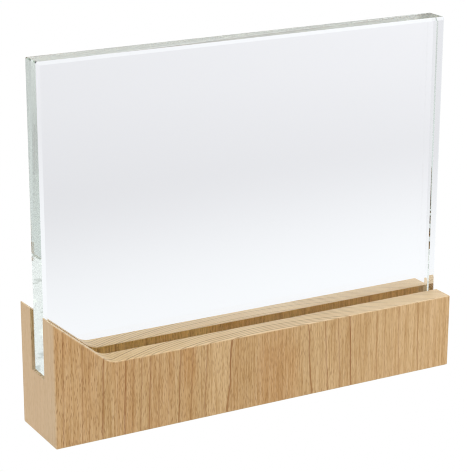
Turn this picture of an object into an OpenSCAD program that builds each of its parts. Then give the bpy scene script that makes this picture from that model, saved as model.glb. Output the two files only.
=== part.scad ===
// Free-standing award: a clear crystal plate that stands in the slot of a solid beech base.
// The origin is on the ground under the middle of the award.
// X runs along the award with the raised end at -X, the front faces -Y, and Z is up.

/* [Wooden base] */
// Length of the base
base_l = 232; // [160:1:300]
// Depth of the base from front to back
base_d = 40; // [34:1:60]
// Height of the long low part
low_h = 40; // [32:1:48]
// Height of the raised end at its tip
tip_h = 65; // [56:1:90]
// Length of the slope that falls from the tip
slope_l = 30; // [20:1:50]
// Radius of the hollow where the slope meets the flat top
slope_r = 12; // [4:1:20]
// Width of the broken edges of the wood
wood_edge = 0.8; // [0.3:0.1:1.2]

/* [Slot] */
// Height of the slot's floor above the underside of the base
slot_floor = 32.5; // [20:0.5:34]
// Free space on each side of the plate in the slot
slot_side_gap = 0.2; // [0.1:0.05:0.4]

/* [Crystal plate] */
// Thickness of the plate
plate_t = 15; // [10:0.5:20]
// Height of the plate
plate_h = 157; // [100:1:240]
// Distance from each end of the base to the end of the plate
plate_recess = 1.2; // [0.5:0.1:6]
// Width of the polished chamfer around both faces
plate_chamfer = 1.5; // [0.5:0.1:2.5]
// Width of the small chamfer on the four corners
corner_chamfer = 0.6; // [0.2:0.1:1.5]
// Air under the plate, so that the two bodies never overlap
seat_gap = 0.05; // [0.02:0.01:0.2]

/* [Felt pads] */
// Diameter of each pad
pad_dia = 12; // [8:1:16]
// Thickness of each pad
pad_t = 1; // [0.5:0.1:3]
// Distance from the edges of the base to the middle of a pad
pad_inset = 11; // [9:1:16]

/* [Hidden] */
$fn = 64;
past = 1;                                        // how far a cutter runs past what it cuts
half_l = base_l / 2;
half_d = base_d / 2;
slot_w = plate_t + 2 * slot_side_gap;
plate_w = base_l - 2 * plate_recess;
slope_fall = tip_h - low_h;
slope_angle = atan(slope_fall / slope_l);
slope_len = sqrt(slope_l * slope_l + slope_fall * slope_fall);
hollow_reach = slope_r * tan(slope_angle / 2);   // from the corner to where the hollow ends
foot = [slope_l - half_l, low_h];                // where slope and flat top would meet
tip = [-half_l, tip_h];
hollow_mid = [foot.x + hollow_reach, low_h + slope_r];
hollow_start = foot + hollow_reach * [-cos(slope_angle), sin(slope_angle)];
hollow_end = foot + [hollow_reach, 0];
pad_x = half_l - pad_inset;
pad_y = half_d - pad_inset;

// A rectangle with its corners cut off, centred on the origin
module cut_rect(size, cut) {
    x = size.x / 2;
    y = size.y / 2;
    polygon([
        [cut - x, -y], [x - cut, -y], [x, cut - y], [x, y - cut],
        [x - cut, y], [cut - x, y], [-x, y - cut], [-x, cut - y],
    ]);
}

// A block that spans X and Z, standing on the ground, made from an outline across Y
module along_y(depth) {
    translate([0, depth / 2, 0])
        rotate([90, 0, 0])
            linear_extrude(depth)
                children();
}

// A block that spans Y and Z, made from an outline across X
module along_x(length) {
    translate([-length / 2, 0, 0])
        rotate([90, 0, 90])
            linear_extrude(length)
                children();
}

// Side outline of the base, with its outer corners lightly broken
module base_outline() {
    tip_cut = wood_edge * [cos(slope_angle), -sin(slope_angle)];
    difference() {
        polygon([
            [wood_edge - half_l, 0], [half_l - wood_edge, 0], [half_l, wood_edge],
            [half_l, low_h - wood_edge], [half_l - wood_edge, low_h],
            hollow_end, hollow_start, tip + tip_cut, tip - [0, wood_edge], [-half_l, wood_edge],
        ]);
        translate(hollow_mid)
            circle(slope_r);
    }
}

// Cuts the edge of one straight stretch of the top, from point a to point b, on both faces
module break_edge(a, b) {
    run = b - a;
    reach = wood_edge * sqrt(2);
    for (side = [-1, 1])
        translate([a.x, side * half_d, a.y])
            rotate([0, -atan2(run.y, run.x), 0])
                rotate([45, 0, 0])
                    translate([0, -reach / 2, -reach / 2])
                        cube([norm(run), reach, reach]);
}

// Cuts the edge of the round hollow on both faces
module break_hollow_edge() {
    for (side = [-1, 1])
        translate([hollow_mid.x, side * half_d, hollow_mid.y])
            rotate([side * 90, 0, 0])
                cylinder(h = wood_edge, r1 = slope_r + wood_edge, r2 = slope_r);
}

module base_block() {
    difference() {
        intersection() {
            along_y(base_d)
                base_outline();
            linear_extrude(tip_h)
                cut_rect([base_l, base_d], wood_edge);
            along_x(base_l)
                translate([0, tip_h / 2 + past])
                    cut_rect([base_d, tip_h + 2 * past], wood_edge + past);
        }
        break_edge(tip, hollow_start);
        break_edge(hollow_end, [half_l, low_h]);
        break_hollow_edge();
    }
}

module wooden_base() {
    color([0.80, 0.66, 0.47])
        translate([0, 0, pad_t])
            difference() {
                base_block();
                translate([-half_l - past, -slot_w / 2, slot_floor])
                    cube([base_l + 2 * past, slot_w, tip_h]);
            }
}

module crystal_plate() {
    color([0.90, 0.93, 0.92, 0.35])
        translate([0, 0, pad_t + slot_floor + seat_gap + plate_h / 2])
            intersection() {
                translate([0, 0, -plate_h / 2])
                    linear_extrude(plate_h)
                        cut_rect([plate_w, plate_t], plate_chamfer);
                along_x(plate_w)
                    cut_rect([plate_t, plate_h], plate_chamfer);
                along_y(plate_t)
                    cut_rect([plate_w, plate_h], corner_chamfer);
            }
}

module felt_pad(side_x, side_y) {
    color([0.30, 0.30, 0.31])
        translate([side_x * pad_x, side_y * pad_y, 0])
            cylinder(h = pad_t, d = pad_dia);
}

wooden_base();
crystal_plate();
felt_pad(-1, -1);  // felt_pad_front_left
felt_pad(1, -1);  // felt_pad_front_right
felt_pad(-1, 1);  // felt_pad_back_left
felt_pad(1, 1);  // felt_pad_back_right
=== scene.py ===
"""Crystal award: a clear chamfered plate standing in the slot of a solid beech base."""
import math
import random

import bmesh
import bpy
from mathutils import Matrix, Vector


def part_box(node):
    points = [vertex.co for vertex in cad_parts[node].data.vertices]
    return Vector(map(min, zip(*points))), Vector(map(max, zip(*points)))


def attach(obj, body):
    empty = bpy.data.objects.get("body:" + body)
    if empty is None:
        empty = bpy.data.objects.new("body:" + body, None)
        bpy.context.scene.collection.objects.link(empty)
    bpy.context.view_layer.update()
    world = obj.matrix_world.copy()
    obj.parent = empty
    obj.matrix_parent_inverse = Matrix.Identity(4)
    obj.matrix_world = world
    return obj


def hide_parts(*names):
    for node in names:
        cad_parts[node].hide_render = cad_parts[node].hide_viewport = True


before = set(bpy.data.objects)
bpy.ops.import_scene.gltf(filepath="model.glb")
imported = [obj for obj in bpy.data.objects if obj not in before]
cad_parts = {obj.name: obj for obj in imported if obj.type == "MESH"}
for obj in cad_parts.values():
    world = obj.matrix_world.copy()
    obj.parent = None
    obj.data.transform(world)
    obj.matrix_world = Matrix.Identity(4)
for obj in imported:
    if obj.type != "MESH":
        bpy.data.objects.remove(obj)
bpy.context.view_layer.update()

MM = 0.001
WHITE = (1, 1, 1, 1)

# ---------------------------------------------------------------- sizes, in metres
BASE_LO, BASE_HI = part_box("wooden_base")
PLATE_LO, PLATE_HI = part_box("crystal_plate")
LOW_TOP = BASE_LO.z + 40 * MM          # the long flat top
TIP_Z = BASE_LO.z + 65 * MM            # the tip, before its edge is broken
SLOPE_L = 30 * MM                      # length of the slope below the tip
HOLLOW_R = 12 * MM                     # radius of the hollow at the foot of the slope
HOLLOW_STEPS = 20                      # flats that make up the hollow
SLOT_GAP = 0.2 * MM                    # air on each side of the plate
SEAT_GAP = 0.05 * MM                   # air under the plate
WOOD_EDGE = 0.8 * MM                   # broken outer edges of the wood
SLOT_EDGE = 0.25 * MM                  # broken edges of the slot
EDGE_STEPS = 3                         # flats across a broken edge
HALF_L = BASE_HI.x
HALF_D = BASE_HI.y
SLOT_HALF = PLATE_HI.y + SLOT_GAP
SLOT_FLOOR = PLATE_LO.z - SEAT_GAP
TOUCHING = 0.01 * MM                   # closer than this is the same place
SHARP = math.radians(20)               # edges flatter than this aren't broken
PAD_SOFT = 0.3 * MM                    # rounding of a felt disc's edge
PAD_STEPS = 48                         # points round a felt disc
PAD_UNEVEN = 0.012                     # how far its points are pulled in, of its radius

# ---------------------------------------------------------------- camera
CAMERA_AT = Vector((-438.3, -773.1, 373.7)) * MM
CAMERA_YAW = math.radians(29.18)       # to the right of straight at the front
CAMERA_PITCH = math.radians(17.89)     # downwards
CAMERA_ROLL = math.radians(-0.175)
CAMERA_REACH = (0.01, 50.0)            # nearest and farthest that it sees
SENSOR = 36.0
FOCAL_OVER_LONG_SIDE = 1831.0 / 472.0


def make_camera():
    data = bpy.data.cameras.new("camera")
    data.sensor_width = SENSOR
    data.lens = SENSOR * FOCAL_OVER_LONG_SIDE
    data.clip_start, data.clip_end = CAMERA_REACH
    camera = bpy.data.objects.new("camera", data)
    bpy.context.scene.collection.objects.link(camera)
    look = Vector((
        math.sin(CAMERA_YAW) * math.cos(CAMERA_PITCH),
        math.cos(CAMERA_YAW) * math.cos(CAMERA_PITCH),
        -math.sin(CAMERA_PITCH),
    ))
    turn = look.to_track_quat("-Z", "Y").to_matrix() @ Matrix.Rotation(-CAMERA_ROLL, 3, "Z")
    camera.matrix_world = Matrix.Translation(CAMERA_AT) @ turn.to_4x4()
    bpy.context.scene.camera = camera


# ---------------------------------------------------------------- node graph helper
class Graph:
    """Short names for the shader nodes that the materials below are made of."""

    def __init__(self, tree):
        self.nodes = tree.nodes
        self.links = tree.links
        self.nodes.clear()

    def plug(self, socket, value):
        if isinstance(value, bpy.types.NodeSocket):
            self.links.new(value, socket)
        elif value is not None:
            socket.default_value = value

    def add(self, kind, out=0, settings=None, **inputs):
        node = self.nodes.new("ShaderNode" + kind)
        for key, value in (settings or {}).items():
            setattr(node, key, value)
        for key, value in inputs.items():
            self.plug(node.inputs[key.replace("_", " ")], value)
        return node.outputs[out]

    def math(self, operation, a, b=None, c=None, clamp=False):
        node = self.nodes.new("ShaderNodeMath")
        node.operation = operation
        node.use_clamp = clamp
        for socket, value in zip(node.inputs, (a, b, c)):
            self.plug(socket, value)
        return node.outputs[0]

    def plus(self, total, *terms):
        for term in terms:
            total = self.math("ADD", total, term)
        return total

    def minus(self, a, b):
        return self.math("SUBTRACT", a, b)

    def times(self, product, *factors):
        for factor in factors:
            product = self.math("MULTIPLY", product, factor)
        return product

    def vector(self, operation, a, b=None):
        node = self.nodes.new("ShaderNodeVectorMath")
        node.operation = operation
        for socket, value in zip(node.inputs, (a, b)):
            self.plug(socket, value)
        return node.outputs[0]

    def combine(self, x, y, z):
        return self.add("CombineXYZ", X=x, Y=y, Z=z)

    def separate(self, vector):
        node = self.nodes.new("ShaderNodeSeparateXYZ")
        self.plug(node.inputs[0], vector)
        return node.outputs

    def noise(self, vector, detail=2.0, roughness=0.5):
        return self.add("TexNoise", Vector=vector, Scale=1.0, Detail=detail, Roughness=roughness)

    def noise_at(self, place, per_mm, **settings):
        """Noise at a place in mm, with this many waves to the mm along each axis."""
        return self.noise(self.vector("MULTIPLY", place, per_mm), **settings)

    def ramp(self, value, low, high, to_low=0.0, to_high=1.0, smooth=True):
        node = self.nodes.new("ShaderNodeMapRange")
        node.interpolation_type = "SMOOTHSTEP" if smooth else "LINEAR"
        for key, number in zip(("Value", "From Min", "From Max", "To Min", "To Max"),
                               (value, low, high, to_low, to_high)):
            self.plug(node.inputs[key], number)
        return node.outputs[0]

    def centred(self, value, reach):
        """A 0-1 noise turned into a shift either way."""
        return self.times(self.minus(value, 0.5), reach)

    def millimetres(self):
        place = self.vector("SCALE", self.add("TexCoord", "Object"))
        place.node.inputs["Scale"].default_value = 1 / MM
        return place

    def mix(self, factor, a, b, blend="MIX"):
        node = self.nodes.new("ShaderNodeMix")
        node.data_type = "RGBA"
        node.blend_type = blend
        self.plug(node.inputs["Factor"], factor)
        self.plug(node.inputs["A"], a)
        self.plug(node.inputs["B"], b)
        return node.outputs["Result"]

    def tinted(self, colour, tint, factor=1.0):
        return self.mix(factor, colour, tint, blend="MULTIPLY")

    def surface(self, shader, volume=None):
        output = self.nodes.new("ShaderNodeOutputMaterial")
        self.plug(output.inputs["Surface"], shader)
        self.plug(output.inputs["Volume"], volume)


def new_material(name):
    material = bpy.data.materials.new(name)
    material.use_nodes = True
    return material, Graph(material.node_tree)


# ---------------------------------------------------------------- beech
# The tree that the block was cut from, in mm
PITH = (2.5, -180.0)                   # its heart, from the base's middle
RING_MM = 1.93                         # growth of one year
RING_AT = 161.9                        # radius of one strong ring, at the height below
RING_HEIGHT = 41.0
LEAN = 0.011                           # how far the rings lean outwards going down
STRONG_EVERY = 3.0                     # years from one strong ring to the next
FIRST_YEAR = 27876.0                   # picks the strengths of the rings
SWELL = 0.55                           # a swelling of the rings left of the middle
SWELL_AT = -19.0
SWELL_REACH = 9.0
FIBRE = (0.42, 0.42, 11.0)             # size of a fibre round, out from and up the tree
STREAK = (1.25, 1.5, 60.0)             # size of a streak of fibres
RAYS = (                               # spacing round and up the tree, fat and thin edges, seed
    (0.43, 6.0, 0.26, 0.09, 3.7),
    (0.60, 8.5, 0.21, 0.07, 11.3),
)

# Colours of the faces that run with the grain
TAN = (0.560, 0.372, 0.176, 1)
PINKER_TAN = (0.545, 0.325, 0.140, 1)
PALE_CLOUD = (0.590, 0.400, 0.200, 1)
PALE_BAND = (0.650, 0.455, 0.235, 1)
RUDDY_BAND = (0.520, 0.290, 0.108, 1)
FAR_END = (0.615, 0.420, 0.212, 1)
LATE_WOOD = (0.400, 0.210, 0.075, 1)
RING_LINE = (0.245, 0.084, 0.010, 1)
DARK_STREAK = (0.365, 0.190, 0.050, 1)
PALE_STREAK = (0.655, 0.468, 0.275, 1)
DARK_FIBRE = (0.335, 0.175, 0.042, 1)
PALE_FIBRE = (0.675, 0.488, 0.295, 1)
RAY = (0.195, 0.068, 0.003, 1)
SIDE_FACE = (0.575, 0.395, 0.218, 1)   # the faces at the base's two ends
LEFT_TINT, RIGHT_TINT = (0.998, 0.961, 0.868, 1), (1.080, 1.040, 0.960, 1)

# Colours of the end grain, on the top: its own tone with the top's stronger light and glancing sheen
# painted in, so paler than the side grain
END_GRAIN_AND_SHEEN = (0.705, 0.522, 0.272, 1)
DARKER_END_GRAIN_AND_SHEEN = (0.665, 0.478, 0.240, 1)
# Painted highlight on the slope below the tip
SLOPE_HIGHLIGHT = (0.860, 0.690, 0.450, 1)
GRAIN_RING = (0.300, 0.185, 0.075, 1)
GRAIN_PORE = (0.500, 0.320, 0.145, 1)
# Painted light along the top: paler and cooler towards the right end, standing in for glancing
# highlights and reflection
GRAIN_LEFT_PAINTED_LIGHT, GRAIN_RIGHT_PAINTED_LIGHT = (1.03, 1.015, 0.965, 1), (1.12, 1.16, 1.30, 1)

# Painted light that brightens and yellows the slot's walls and cools them at the mouths, and the colour
# of sanded edges, which also carries a painted highlight
SLOT_LEFT_PAINTED_LIGHT, SLOT_RIGHT_PAINTED_LIGHT = (1.47, 1.37, 0.78, 1), (1.21, 1.01, 0.53, 1)
SLOT_MOUTH_PAINTED_LIGHT = (0.96, 1.13, 1.28, 1)
SLOT_MOUTH_MM = 8.0
SANDED_AND_HIGHLIT = (0.700, 0.540, 0.340, 1)


def tree_growth(g, place):
    """Distance from the tree's heart, which wanders a little going up, and the way round it, in mm."""
    along, depth, height = g.separate(place)
    swing = g.centred(g.noise_at(place, (0.020, 0.020, 0.016), detail=1.0), 0.5)
    shake = g.centred(g.noise_at(place, (0.16, 0.16, 0.09)), 0.28)
    x = g.minus(along, PITH[0])
    y = g.minus(depth, PITH[1])
    radius = g.math("SQRT", g.plus(g.times(x, x), g.times(y, y)))
    radius = g.plus(radius, g.times(g.minus(height, RING_HEIGHT), LEAN), g.plus(swing, shake))
    off = g.math("DIVIDE", g.minus(along, SWELL_AT), SWELL_REACH)
    radius = g.plus(radius, g.times(g.math("EXPONENT", g.times(off, off, -1.0)), SWELL))
    around = g.times(g.math("ARCTAN2", x, y), abs(PITH[1]))
    return radius, around


def year_rings(g, place, radius):
    """How far through its year the wood is, the year's strength, and the dark line that ends it."""
    along = g.separate(place)[0]
    years = g.math("DIVIDE", g.minus(radius, RING_AT), RING_MM)
    year = g.math("CEIL", years)
    through = g.plus(g.minus(years, year), 1.0)
    cycle = g.math("COSINE", g.times(year, 2 * math.pi / STRONG_EVERY))
    chance = g.add("TexWhiteNoise", settings={"noise_dimensions": "1D"}, W=g.plus(year, FIRST_YEAR))
    strength = g.math("ADD", g.plus(g.times(cycle, 0.25), g.times(chance, 0.65)), 0.12, clamp=True)
    strength = g.times(strength, g.ramp(along, 52.0, 62.0, 1.0, 0.55))
    fade = g.ramp(g.noise_at(place, (0.07, 0.07, 0.03), detail=1.0), 0.32, 0.60, 0.75, 1.0)
    starts = g.ramp(radius, 162.0, 176.0, 0.90, 0.68, smooth=False)
    line = g.times(g.ramp(through, starts, 0.955), g.ramp(through, 1.0, 0.975), strength, fade)
    return through, strength, line


def ray_dashes(g, around, height, across, upward, fat, thin, seed):
    """Short dark upright dashes on the faces, which are thin sheets in depth."""
    cell = g.combine(g.plus(g.math("DIVIDE", around, across), seed),
                     g.math("DIVIDE", height, upward), 0.0)
    spot = g.add("TexVoronoi", "Distance", settings={"voronoi_dimensions": "2D"},
                 Vector=cell, Scale=1.0, Randomness=1.0)
    tone = g.separate(spot.node.outputs["Color"])[0]
    return g.times(g.ramp(spot, fat, thin), g.ramp(tone, 0.15, 0.9, 0.25, 1.0))


def beech_material():
    """Solid beech: growth rings round a heart in front of the base, with rays and fine fibres."""
    material, g = new_material("beech")
    place = g.millimetres()
    along, depth, height = g.separate(place)
    facing = g.separate(g.add("TexCoord", "Normal"))
    sideways = g.math("ABSOLUTE", facing[0])
    upright = g.math("ABSOLUTE", facing[2])
    radius, around = tree_growth(g, place)
    through, strength, line = year_rings(g, place, radius)
    ray = g.math("MAXIMUM", *[ray_dashes(g, around, height, *row) for row in RAYS])

    def tree_noise(size, **settings):
        cells = [g.math("DIVIDE", way, mm) for way, mm in zip((around, radius, height), size)]
        return g.noise(g.combine(*cells), **settings)

    fibre = tree_noise(FIBRE, detail=2.0, roughness=0.6)
    streak = tree_noise(STREAK, detail=3.0, roughness=0.75)
    band = g.noise(g.combine(g.times(along, 0.055), g.times(radius, 0.05), g.times(height, 0.006)))
    cloud = g.noise_at(place, (0.035, 0.05, 0.022), detail=3.0)

    # Faces that run with the grain: the tone changes slowly along the board, in bands.
    def patch(centre, reach):
        return g.ramp(g.math("ABSOLUTE", g.minus(along, centre)), reach, reach * 0.45)

    pale = g.math("MAXIMUM", patch(-26.5, 9.0), g.times(patch(31.0, 17.0), 0.8))
    ruddy = g.math("MAXIMUM", patch(-43.0, 6.0), g.times(patch(-10.0, 9.0), 0.6))
    ruddy = g.math("MAXIMUM", g.times(patch(9.0, 17.0), g.ramp(height, 38.0, 24.0, 0.30, 0.8)), ruddy)
    skin = g.ramp(radius, 160.4, 161.4, 0.35, 1.0)
    late = g.times(g.math("POWER", through, 2.5), strength)
    colour = g.mix(g.ramp(band, 0.38, 0.62), TAN, PINKER_TAN)
    for amount, paint in (
        (g.ramp(cloud, 0.42, 0.68, 0.0, 0.6), PALE_CLOUD),
        (g.times(pale, 0.8), PALE_BAND),
        (g.times(ruddy, g.ramp(cloud, 0.38, 0.60, 0.35, 0.85)), RUDDY_BAND),
        (g.ramp(along, 35.0, 110.0, 0.0, 0.8), FAR_END),
        (g.times(late, skin, 0.24), LATE_WOOD),
        (g.times(line, skin), RING_LINE),
        (g.ramp(streak, 0.46, 0.66, 0.0, 0.52), DARK_STREAK),
        (g.ramp(streak, 0.50, 0.32, 0.0, 0.34), PALE_STREAK),
        (g.ramp(fibre, 0.48, 0.68, 0.0, 0.40), DARK_FIBRE),
        (g.ramp(fibre, 0.50, 0.32, 0.0, 0.25), PALE_FIBRE),
    ):
        colour = g.mix(amount, colour, paint)
    colour = g.tinted(colour, g.mix(g.ramp(along, 10.0, 90.0), LEFT_TINT, RIGHT_TINT))
    colour = g.mix(g.ramp(sideways, 0.3, 0.8, 0.0, 0.75), colour, SIDE_FACE)
    fleck = g.times(ray, g.ramp(sideways, 0.3, 0.8, 0.78, 0.16), g.ramp(along, 0.0, 90.0, 1.0, 0.48))
    colour = g.mix(fleck, colour, RAY)

    # End grain, painted paler than the side grain with the top's light and sheen
    end_grain = g.ramp(upright, 0.35, 0.75)
    pores = g.noise_at(place, (3.2, 3.2, 0.6), roughness=0.7)
    ring = g.times(g.ramp(through, 0.50, 0.92), g.ramp(through, 1.0, 0.94), g.plus(strength, 0.15))
    end = g.mix(g.ramp(band, 0.3, 0.7), END_GRAIN_AND_SHEEN, DARKER_END_GRAIN_AND_SHEEN)
    # Painted light: the top turns paler and cooler towards the right end.
    end = g.tinted(end, g.mix(g.ramp(along, -90.0, 20.0), GRAIN_LEFT_PAINTED_LIGHT, GRAIN_RIGHT_PAINTED_LIGHT))
    # Painted highlight: the slope below the tip is painted paler, where light from the right catches
    # it.
    end = g.mix(g.ramp(along, -84.0, -90.0, 0.0, 0.6), end, SLOPE_HIGHLIGHT)
    end = g.mix(ring, end, GRAIN_RING)
    end = g.mix(g.ramp(pores, 0.45, 0.8, 0.0, 0.30), end, GRAIN_PORE)
    colour = g.mix(end_grain, colour, end)

    # Inside the slot the walls get painted light, brighter and more golden, standing in for light that
    # reaches them through the plate; at the mouths at its ends it is cooler instead.
    wall, floor, mouth = SLOT_HALF / MM, SLOT_FLOOR / MM, HALF_L / MM
    inside = g.times(g.ramp(g.math("ABSOLUTE", depth), wall + 0.15, wall + 0.02),
                     g.ramp(height, floor - 0.3, floor - 0.1),
                     g.ramp(g.math("MAXIMUM", sideways, upright), 0.6, 0.3))
    painted_slot_light = g.mix(g.ramp(along, -60.0, 60.0), SLOT_LEFT_PAINTED_LIGHT, SLOT_RIGHT_PAINTED_LIGHT)
    painted_slot_light = g.mix(g.ramp(g.math("ABSOLUTE", along), mouth, mouth - SLOT_MOUTH_MM), SLOT_MOUTH_PAINTED_LIGHT, painted_slot_light)
    colour = g.tinted(colour, painted_slot_light, inside)

    # Broken edges are sanded a little paler, with a painted highlight that is stronger where they face
    # up.
    worn_and_highlit = g.times(g.add("Attribute", "Fac", settings={"attribute_name": "worn_and_highlit"}),
                   g.ramp(g.noise_at(place, (0.5, 0.5, 0.5), detail=3.0), 0.3, 0.7, 0.05, 0.28),
                   g.ramp(upright, 0.1, 0.5, 0.5, 1.0))
    colour = g.mix(worn_and_highlit, colour, SANDED_AND_HIGHLIT)

    roughness = g.plus(g.ramp(fibre, 0.2, 0.8, 0.42, 0.54), g.times(ray, 0.10))
    relief = g.minus(g.times(fibre, 0.5), g.times(ray, 0.6))
    relief = g.minus(relief, g.times(pores, end_grain, 0.8))
    relief = g.minus(relief, g.times(line, 0.4))
    bump = g.add("Bump", Strength=0.35, Distance=0.08 * MM, Height=relief)
    g.surface(g.add("BsdfPrincipled", Base_Color=colour, Roughness=roughness, Normal=bump, IOR=1.45))
    return material


# ---------------------------------------------------------------- crystal
GLASS_IOR = 1.52
GLASS_TINT = (0.600, 0.676, 0.585, 1)  # a faint grey-green
GLASS_DENSITY = 3.5                    # of the tint, per metre
MOST_HAZE = 0.004                      # roughness where the polish is poorest


def crystal_material():
    """Clear polished glass that turns a faint grey-green where it is seen along its length."""
    material, g = new_material("crystal")
    haze = g.noise_at(g.millimetres(), (0.05, 0.05, 0.05), detail=4.0)
    roughness = g.ramp(haze, 0.55, 0.8, 0.0, MOST_HAZE)
    shader = g.add("BsdfPrincipled", Base_Color=WHITE, Roughness=roughness)
    shader.node.inputs["Transmission Weight"].default_value = 1.0
    shader.node.inputs["IOR"].default_value = GLASS_IOR
    tint = g.add("VolumeAbsorption")
    tint.node.inputs["Color"].default_value = GLASS_TINT
    tint.node.inputs["Density"].default_value = GLASS_DENSITY
    g.surface(shader, tint)
    return material


# ---------------------------------------------------------------- felt
DARK_FELT = (0.035, 0.035, 0.038, 1)
PALE_FELT = (0.120, 0.118, 0.120, 1)
FELT_LUMP = (0.060, 0.060, 0.064, 1)
FELT_SHEEN = 0.3


def felt_material():
    """Dark grey pressed felt."""
    material, g = new_material("felt")
    place = g.millimetres()
    fibres = g.noise_at(place, (4.0, 4.0, 4.0), detail=5.0, roughness=0.7)
    lumps = g.noise_at(place, (0.7, 0.7, 0.7))
    colour = g.mix(g.ramp(fibres, 0.3, 0.7), DARK_FELT, PALE_FELT)
    colour = g.mix(g.ramp(lumps, 0.35, 0.7, 0.0, 0.4), colour, FELT_LUMP)
    roughness = g.ramp(fibres, 0.2, 0.8, 0.85, 1.0)
    bump = g.add("Bump", Strength=0.9, Distance=0.2 * MM, Height=fibres)
    shader = g.add("BsdfPrincipled", Base_Color=colour, Roughness=roughness, Normal=bump)
    shader.node.inputs["Sheen Weight"].default_value = FELT_SHEEN
    g.surface(shader)
    return material


# ---------------------------------------------------------------- meshes
def object_from(bm, name, material, body):
    mesh = bpy.data.meshes.new(name)
    bm.to_mesh(mesh)
    bm.free()
    mesh.materials.append(material)
    piece = bpy.data.objects.new(name, mesh)
    bpy.context.scene.collection.objects.link(piece)
    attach(piece, body)
    return piece


def top_line():
    """The base's top from the tip to the far end, as (x, z) points, with the hollow as an arc."""
    fall = TIP_Z - LOW_TOP
    angle = math.atan2(fall, SLOPE_L)
    reach = HOLLOW_R * math.tan(angle / 2)
    middle_x = SLOPE_L - HALF_L + reach
    middle_z = LOW_TOP + HOLLOW_R
    arc = []
    for i in range(HOLLOW_STEPS + 1):
        a = angle * (1 - i / HOLLOW_STEPS)
        arc.append((middle_x - HOLLOW_R * math.sin(a), middle_z - HOLLOW_R * math.cos(a)))
    return [(-HALF_L, TIP_Z)] + arc + [(HALF_L, LOW_TOP)]


def base_faces(bm):
    """Adds the block's faces: its profile from front to back, with a slot along the middle."""
    top = top_line()
    rows = []
    for y in (-HALF_D, -SLOT_HALF, SLOT_HALF, HALF_D):
        rows.append([bm.verts.new((x, y, z)) for x, z in top])
    left, right = -HALF_L, HALF_L
    corner = {}
    for x in (left, right):
        for y in (-HALF_D, HALF_D):
            corner[x, y] = bm.verts.new((x, y, BASE_LO.z))
        for y in (-SLOT_HALF, SLOT_HALF):
            corner[x, y] = bm.verts.new((x, y, SLOT_FLOOR))
    faces = [
        [corner[left, -HALF_D], corner[right, -HALF_D]] + rows[0][::-1],
        [corner[right, HALF_D], corner[left, HALF_D]] + rows[3],
        [corner[right, -SLOT_HALF], corner[left, -SLOT_HALF]] + rows[1],
        [corner[left, SLOT_HALF], corner[right, SLOT_HALF]] + rows[2][::-1],
        [corner[left, -SLOT_HALF], corner[right, -SLOT_HALF],
         corner[right, SLOT_HALF], corner[left, SLOT_HALF]],
        [corner[left, HALF_D], corner[right, HALF_D], corner[right, -HALF_D], corner[left, -HALF_D]],
    ]
    for x, end, order in ((left, 0, -1), (right, -1, 1)):
        loop = [corner[x, -HALF_D], corner[x, HALF_D], rows[3][end], rows[2][end],
                corner[x, SLOT_HALF], corner[x, -SLOT_HALF], rows[1][end], rows[0][end]]
        faces.append(loop[::order])
    for front, back in ((rows[0], rows[1]), (rows[2], rows[3])):
        for i in range(len(top) - 1):
            faces.append([front[i], front[i + 1], back[i + 1], back[i]])
    for face in faces:
        bm.faces.new(face)
    bm.normal_update()


def is_inner_corner(edge):
    """Whether this edge of the slot is one of the two long ones at its floor."""
    a, b = (v.co for v in edge.verts)
    on_floor = all(abs(co.z - SLOT_FLOOR) < TOUCHING for co in (a, b))
    return on_floor and abs(a.x - b.x) > MM


def make_base(material):
    """The beech block, with all its edges but the slot's inner corners lightly rounded."""
    bm = bmesh.new()
    weight = bm.edges.layers.float.new("bevel_weight_edge")
    base_faces(bm)
    for edge in bm.edges:
        if edge.calc_face_angle(0) < SHARP:
            continue
        in_slot = all(abs(v.co.y) < SLOT_HALF + TOUCHING for v in edge.verts)
        if in_slot and is_inner_corner(edge):
            continue
        edge[weight] = SLOT_EDGE / WOOD_EDGE if in_slot else 1.0
    piece = object_from(bm, "beech_base", material, "base")
    bevel = piece.modifiers.new("broken_edges", "BEVEL")
    bevel.limit_method = "WEIGHT"
    bevel.width = WOOD_EDGE
    bevel.segments = EDGE_STEPS
    bevel.use_clamp_overlap = True
    bevel.harden_normals = True
    for polygon in piece.data.polygons:
        polygon.use_smooth = True
    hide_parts("wooden_base")
    return piece


def bake_modifiers(piece):
    evaluated = piece.evaluated_get(bpy.context.evaluated_depsgraph_get())
    mesh = bpy.data.meshes.new_from_object(evaluated)
    piece.modifiers.clear()
    piece.data = mesh


def mark_worn_and_highlit(piece):
    """Gives the rounded edges a value that the wood's material reads, for their sanded tone and painted
    highlight.
    """
    mesh = piece.data
    worn_and_highlit = mesh.attributes.new("worn_and_highlit", "FLOAT", "FACE")
    for polygon in mesh.polygons:
        n = polygon.normal
        straight = max(abs(n.x), abs(n.y), abs(n.z)) > 0.995
        on_slope = abs(n.y) < 0.02 and n.z > 0.7 and n.x > -0.1
        worn_and_highlit.data[polygon.index].value = 0.0 if straight or on_slope else 1.0


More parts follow.
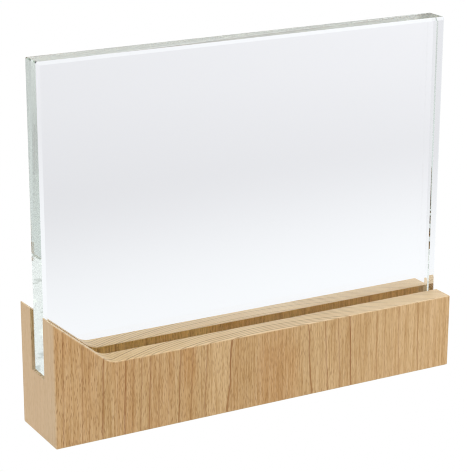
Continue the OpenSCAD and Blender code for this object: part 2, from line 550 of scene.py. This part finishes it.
def make_pad(node, material):
    """One felt disc with soft edges and a slightly uneven outline."""
    lo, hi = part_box(node)
    centre = (lo + hi) / 2
    radius, thick = (hi.x - lo.x) / 2, hi.z - lo.z
    draw = random.Random(node)
    bm = bmesh.new()
    profile = (
        (radius * 0.45, 0),
        (radius * 0.8, 0),
        (radius - PAD_SOFT, 0),
        (radius - PAD_SOFT * 0.3, PAD_SOFT * 0.3),
        (radius, PAD_SOFT),
        (radius, thick - PAD_SOFT * 0.4),
        (radius - PAD_SOFT * 0.2, thick),
    )
    rings = []
    for r, z in profile:
        ring = []
        for i in range(PAD_STEPS):
            a = 2 * math.pi * i / PAD_STEPS
            pull = 1 - draw.uniform(0, PAD_UNEVEN)
            x = centre.x + r * pull * math.cos(a)
            y = centre.y + r * pull * math.sin(a)
            ring.append(bm.verts.new((x, y, lo.z + z)))
        rings.append(ring)
    for inner, outer in zip(rings, rings[1:]):
        for i in range(PAD_STEPS):
            j = (i + 1) % PAD_STEPS
            bm.faces.new([inner[i], inner[j], outer[j], outer[i]])
    bm.faces.new(rings[0][::-1])
    bm.faces.new(rings[-1])
    bmesh.ops.recalc_face_normals(bm, faces=bm.faces)
    piece = object_from(bm, node.replace("felt_pad", "felt_disc"), material, "base")
    for polygon in piece.data.polygons:
        polygon.use_smooth = len(polygon.vertices) == 4
    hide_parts(node)


# ---------------------------------------------------------------- studio
# The camera sees plain white all round. The tones below are what the glass and the wood see.
FLOOR_GAP = 0.02 * MM                  # keeps the floor just clear of the felt
FLOOR_R = 6.0
FLOOR_GLOW = 0.790                     # far from the award
FLOOR_LIFT = 0.20                      # how much brighter it is near the award
FLOOR_TINT = (0.995, 1.000, 1.040, 1)
NEAR_TINT = (0.975, 0.992, 1.020, 1)   # of the floor near the award
AHEAD_TINT = (0.960, 0.998, 1.045, 1)  # of the floor near its front
TENT = 1.18                            # brightness of the white tent
WALL_DIMS = -0.42                      # change where a darker wall shows past the backdrop
BACKDROP_ENDS = 0.699                  # tangent of the bearing, from straight behind, of its end
TENT_LEFT_TINT, TENT_RIGHT_TINT = (0.985, 0.995, 1.03, 1), (0.992, 0.982, 1.05, 1)
BEHIND_LEFT_TINT, BEHIND_RIGHT_TINT = (1.06, 1.12, 1.08, 1), (0.90, 0.96, 0.92, 1)
LAMP_AT = (-0.35, -0.15, 1.5)
LAMP_AIM = (0, 0, 0.08)
LAMP_SIZE = 1.4
LAMP_WATTS = 4.2


def make_floor():
    """A glowing floor whose painted light is brightest near the award, with a darker strip in front. It
    can be seen through from below.
    """
    bpy.ops.mesh.primitive_circle_add(vertices=96, radius=FLOOR_R, fill_type="NGON",
                                      location=(0, 0, -FLOOR_GAP))
    floor = bpy.context.object
    floor.name = "floor"
    material, g = new_material("floor")
    x, y = g.separate(g.add("TexCoord", "Object"))[:2]
    near = g.ramp(g.math("ABSOLUTE", y), 0.40, 0.10)
    ahead = g.math("LESS_THAN", y, 0.0)
    # Painted light: the floor's glow rises near the award and changes across it, with a darker strip
    # just in front.
    grey = g.plus(
        g.times(near, FLOOR_LIFT),
        FLOOR_GLOW,
        g.ramp(x, 0.0, 0.7, 0.0, 0.12, smooth=False),
        g.ramp(y, -0.45, -0.65, 0.0, 0.17),
        g.times(ahead, g.ramp(y, -0.50, -0.35, 0.0, -0.13)),
        g.times(ahead, g.ramp(x, -0.05, -0.30, 0.0, 0.20)),
    )
    tint = g.mix(near, FLOOR_TINT, NEAR_TINT)
    tint = g.mix(g.times(ahead, near), tint, AHEAD_TINT)
    tone = g.tinted(g.combine(grey, grey, grey), tint)
    colour = g.mix(g.add("LightPath", "Is Camera Ray"), tone, WHITE)
    one_sided = g.nodes.new("ShaderNodeMixShader")
    g.plug(one_sided.inputs[0], g.add("NewGeometry", "Backfacing"))
    g.plug(one_sided.inputs[1], g.add("Emission", Color=colour, Strength=1.0))
    g.plug(one_sided.inputs[2], g.add("BsdfTransparent"))
    g.surface(one_sided.outputs[0])
    floor.data.materials.append(material)


def make_lamp():
    """One large soft lamp overhead."""
    data = bpy.data.lights.new("overhead", "AREA")
    data.shape = "SQUARE"
    data.size = LAMP_SIZE
    data.energy = LAMP_WATTS
    lamp = bpy.data.objects.new("overhead", data)
    bpy.context.scene.collection.objects.link(lamp)
    lamp.location = LAMP_AT
    lamp.rotation_euler = (Vector(LAMP_AIM) - Vector(LAMP_AT)).to_track_quat("-Z", "Y").to_euler()


def make_world():
    """A white tent that dims towards its top, with a darker wall past the backdrop's right end."""
    world = bpy.data.worlds.new("studio")
    bpy.context.scene.world = world
    world.use_nodes = True
    g = Graph(world.node_tree)
    right, back, up = g.separate(g.add("TexCoord", "Generated"))
    side = g.ramp(right, -0.30, 0.35)
    behind = g.math("GREATER_THAN", back, 0.0)
    tent = g.plus(TENT, g.times(g.ramp(up, 0.20, 0.28), side, 0.08), g.times(side, 0.04))
    tent = g.times(tent, g.ramp(g.minus(up, side), 0.15, 0.80, 1.0, 0.70))
    beyond = g.minus(right, g.times(back, BACKDROP_ENDS))
    wall = g.times(g.ramp(beyond, -0.002, 0.004), g.ramp(up, 0.25, 0.24), behind)
    tent = g.times(tent, g.math("MULTIPLY_ADD", wall, WALL_DIMS, 1.0))
    tint = g.mix(side, TENT_LEFT_TINT, TENT_RIGHT_TINT)
    across = g.ramp(g.minus(right, g.times(back, 0.50)), -0.08, 0.10)
    low_behind = g.times(g.ramp(up, 0.34, 0.30), behind)
    tint = g.tinted(tint, g.mix(across, BEHIND_LEFT_TINT, BEHIND_RIGHT_TINT), low_behind)
    tone = g.tinted(g.combine(tent, tent, tent), tint)
    colour = g.mix(g.add("LightPath", "Is Camera Ray"), tone, WHITE)
    output = g.nodes.new("ShaderNodeOutputWorld")
    g.plug(output.inputs["Surface"], g.add("Background", Color=colour, Strength=1.0))


def set_light_paths():
    """Enough bounces for light that runs back and forth inside the plate."""
    scene = bpy.context.scene
    scene.view_settings.view_transform = "Standard"
    scene.view_settings.look = "None"
    scene.cycles.max_bounces = 64
    scene.cycles.glossy_bounces = 64
    scene.cycles.transmission_bounces = 64
    scene.cycles.diffuse_bounces = 5
    scene.cycles.sample_clamp_indirect = 6.0
    scene.cycles.filter_width = 1.1


make_camera()
make_floor()
make_world()
make_lamp()
set_light_paths()

base = make_base(beech_material())
bake_modifiers(base)
mark_worn_and_highlit(base)
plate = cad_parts["crystal_plate"]
plate.data.materials.clear()
plate.data.materials.append(crystal_material())
felt = felt_material()
for pad in ("felt_pad_front_left", "felt_pad_front_right", "felt_pad_back_left", "felt_pad_back_right"):
    make_pad(pad, felt)
